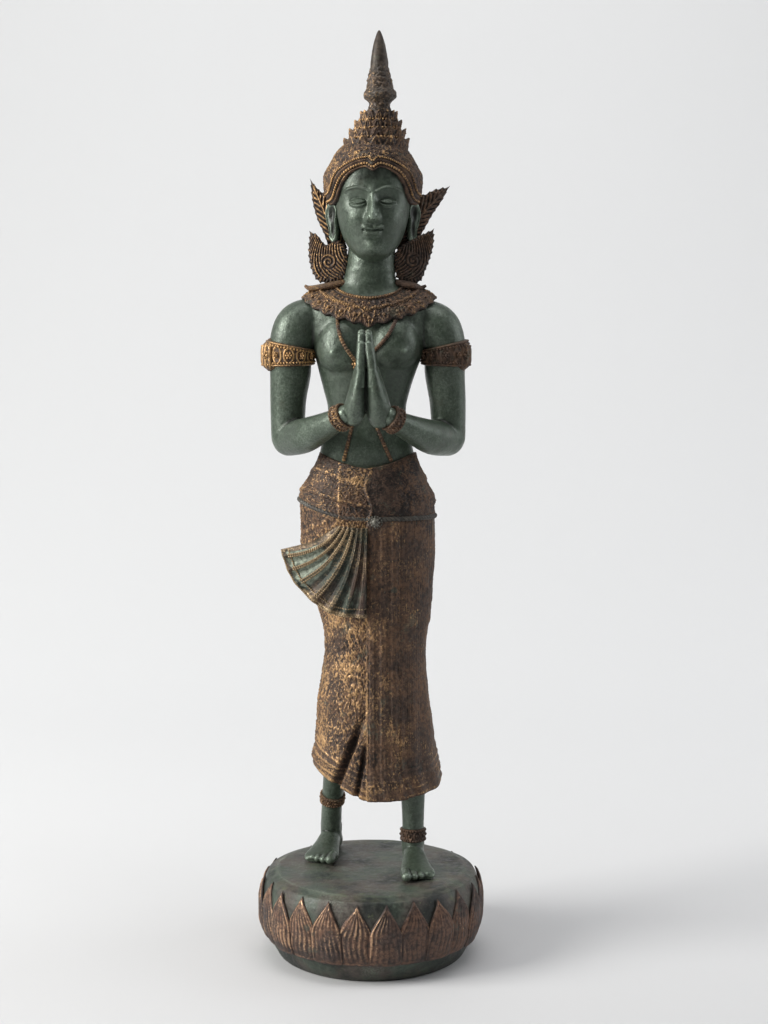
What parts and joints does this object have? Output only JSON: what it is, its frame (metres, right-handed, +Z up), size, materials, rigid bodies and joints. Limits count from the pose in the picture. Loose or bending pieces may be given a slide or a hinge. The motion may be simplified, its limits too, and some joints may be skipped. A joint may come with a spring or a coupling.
{
  "type": "temple guardian statue",
  "caption": "Praying deity of cast bronze in a tall tiered crown and long patterned skirt, standing barefoot on a round lotus base; an ornament for a shelf, altar or garden.",
  "frame": {"origin": "middle of the base's flat underside", "axes": "+Z up along the statue; -Y is where the figure faces; +X is to the right of someone who faces the figure"},
  "size_m": [0.1552, 0.1552, 0.6197],
  "materials": {
    "figure_bronze": "cast bronze with a brown and verdigris patina, its raised edges worn to copper gold",
    "base_bronze": "cast bronze with a dark green patina, its petals worn to copper"
  },
  "bodies": {
    "root": {"guardian_figure": "figure_bronze", "lotus_base": "base_bronze"}
  },
  "joints": []
}
